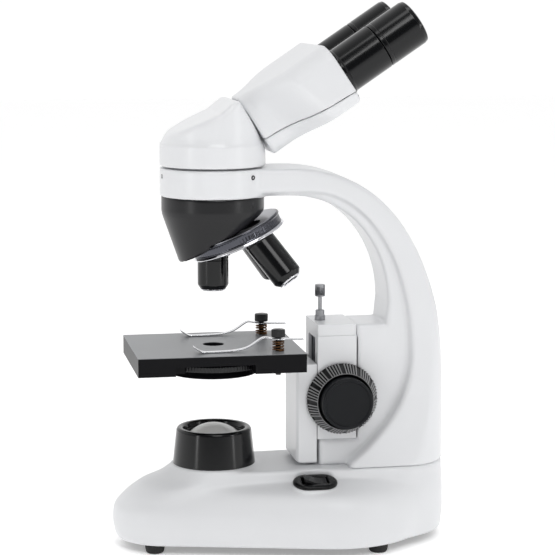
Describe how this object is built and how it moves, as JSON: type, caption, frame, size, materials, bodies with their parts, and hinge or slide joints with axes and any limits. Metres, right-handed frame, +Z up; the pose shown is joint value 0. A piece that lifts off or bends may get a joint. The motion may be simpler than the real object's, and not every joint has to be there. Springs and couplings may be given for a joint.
{
  "type": "compound microscope",
  "caption": "Binocular compound microscope: C-shaped arm on a pear-shaped base with lamp, square stage, turning nosepiece and inclined sliding eyetubes.",
  "frame": {"origin": "on the table, under the middle of the microscope's bounding box", "axes": "+Z up along the optical axis; -Y towards the nose of the base and the front of the stage; +X to the right seen from behind the nose, the side with the switch; X = 0 is the plane of symmetry"},
  "size_m": [0.138, 0.2452, 0.3928],
  "materials": {
    "aluminium": "machined",
    "black_anodised": "black anodised",
    "black_gloss": "gloss",
    "black_satin": "satin, moulded",
    "board_green": "solder mask",
    "brass": "machined",
    "bright_steel": "bright",
    "charcoal": "matte, moulded",
    "chrome": "polished",
    "frosted_glass": "frosted",
    "led_yellow": "moulded",
    "lens_glass": "polished",
    "rubber_black": "matte",
    "stage_grey": "satin",
    "white_paint": "cast, semi-gloss enamel",
    "white_plastic": "moulded, semi-gloss"
  },
  "bodies": {
    "stand": {"base_shell": "white_plastic", "base_plate": "black_satin", "rubber_feet": "rubber_black", "plate_screws": "bright_steel", "lamp_housing": "black_gloss", "collector_lens": "frosted_glass", "lens_ring": "black_satin", "led_module": "led_yellow", "heat_sink": "aluminium", "driver_board": "board_green", "dc_socket": "black_satin", "switch_bezel": "black_gloss", "arm": "white_paint", "focus_housing": "white_paint", "housing_cap": "white_paint", "fine_guide_rods": "bright_steel", "cam_stop_pin": "bright_steel", "stop_lock_nut": "bright_steel", "nosepiece_shell": "black_satin", "arm_set_screws": "bright_steel"},
    "switch": {"switch_rocker": "black_gloss"},
    "fine_slide_block": {"fine_block": "aluminium", "cam_axle": "bright_steel"},
    "coarse_drive": {"coarse_shaft_left": "bright_steel", "coarse_shaft_right": "bright_steel", "coarse_knob_left": "black_satin", "coarse_knob_right": "black_satin"},
    "fine_drive": {"fine_shaft": "bright_steel", "fine_knob_left": "charcoal", "fine_knob_right": "charcoal"},
    "cam": {"cam_gear": "brass"},
    "stage": {"carriage": "white_paint", "dovetail_slide": "bright_steel", "focus_rack": "brass", "stage_plate": "stage_grey", "stage_screws": "bright_steel", "diaphragm_screw": "bright_steel", "clip_springs": "brass", "clip_posts": "black_anodised"},
    "diaphragm": {"diaphragm_disc": "black_satin"},
    "left_clip": {"clip_left": "chrome"},
    "right_clip": {"clip_right": "chrome"},
    "height_stop": {"stop_screw": "bright_steel"},
    "nosepiece": {"turret": "black_anodised", "turret_grip": "chrome", "turret_screw": "chrome", "objective_low": "black_gloss", "objective_medium": "black_gloss", "objective_high": "black_gloss"},
    "head": {"head_body": "white_paint", "head_upper_shell": "white_plastic", "head_lower_cover": "white_plastic", "head_front_plate": "black_satin", "prism_set": "lens_glass"},
    "left_eyetube": {"eyetube_left": "black_gloss"},
    "right_eyetube": {"eyetube_right": "black_gloss"},
    "left_eyepiece": {"eyepiece_left": "black_gloss", "eye_lens_left": "lens_glass"},
    "right_eyepiece": {"eyepiece_right": "black_gloss", "eye_lens_right": "lens_glass"}
  },
  "joints": [
    {"name": "power_switch", "type": "hinge", "parent": "stand", "child": "switch", "pos_m": [0.043, 0.019, 0.0502], "axis": [0.9744, 0, -0.225], "range_deg": [0, 16]},
    {"name": "fine_slide", "type": "slide", "parent": "stand", "child": "fine_slide_block", "axis": [0, 0, 1], "range_m": [0, 0.002]},
    {"name": "coarse_turn", "type": "hinge", "parent": "fine_slide_block", "child": "coarse_drive", "pos_m": [0, 0.0425, 0.1077], "axis": [1, 0, 0], "range_deg": [-204.63, 0]},
    {"name": "fine_turn", "type": "hinge", "parent": "fine_slide_block", "child": "fine_drive", "pos_m": [0, 0.0425, 0.1077], "axis": [1, 0, 0], "range_deg": [0, 1100]},
    {"name": "cam_turn", "type": "hinge", "parent": "fine_slide_block", "child": "cam", "pos_m": [0, 0.0524, 0.0978], "axis": [1, 0, 0], "range_deg": [-300, 0]},
    {"name": "stage_focus", "type": "slide", "parent": "fine_slide_block", "child": "stage", "axis": [0, 0, 1], "range_m": [0, 0.02]},
    {"name": "diaphragm_turn", "type": "hinge", "parent": "stage", "child": "diaphragm", "pos_m": [0.01, -0.05, 0.136], "axis": [0, 0, 1], "continuous": true},
    {"name": "left_clip_swing", "type": "hinge", "parent": "stage", "child": "left_clip", "pos_m": [-0.035, -0.0065, 0.1548], "axis": [0, 0, 1], "range_deg": [-25, 60]},
    {"name": "right_clip_swing", "type": "hinge", "parent": "stage", "child": "right_clip", "pos_m": [0.035, -0.0065, 0.1548], "axis": [0, 0, 1], "range_deg": [-60, 25]},
    {"name": "stop_screw_turn", "type": "hinge", "parent": "stand", "child": "height_stop", "pos_m": [0, 0.031, 0.17], "axis": [0, 0, 1], "continuous": true},
    {"name": "nosepiece_turn", "type": "hinge", "parent": "stand", "child": "nosepiece", "pos_m": [0, -0.048, 0.265], "axis": [0, -0.4067, 0.9135], "continuous": true},
    {"name": "head_turn", "type": "hinge", "parent": "stand", "child": "head", "pos_m": [0, -0.048, 0.28], "axis": [0, 0, 1], "continuous": true},
    {"name": "right_eyetube_slide", "type": "slide", "parent": "head", "child": "right_eyetube", "axis": [1, 0, 0], "range_m": [-0.004, 0]},
    {"name": "left_eyetube_slide", "type": "slide", "parent": "head", "child": "left_eyetube", "axis": [1, 0, 0], "range_m": [0, 0.004]},
    {"name": "left_eyepiece_turn", "type": "hinge", "parent": "left_eyetube", "child": "left_eyepiece", "pos_m": [-0.031, 0.03853, 0.34326], "axis": [0, 0.829, 0.5592], "continuous": true},
    {"name": "right_eyepiece_turn", "type": "hinge", "parent": "right_eyetube", "child": "right_eyepiece", "pos_m": [0.031, 0.03853, 0.34326], "axis": [0, 0.829, 0.5592], "continuous": true}
  ],
  "couplings": [
    {"joint": "coarse_turn", "follows": "stage_focus", "rad_per_m": -178.57},
    {"joint": "fine_turn", "follows": "fine_slide", "rad_per_m": 9599.3},
    {"joint": "cam_turn", "follows": "fine_slide", "rad_per_m": -2618},
    {"joint": "left_eyetube_slide", "follows": "right_eyetube_slide", "ratio": -1}
  ]
}
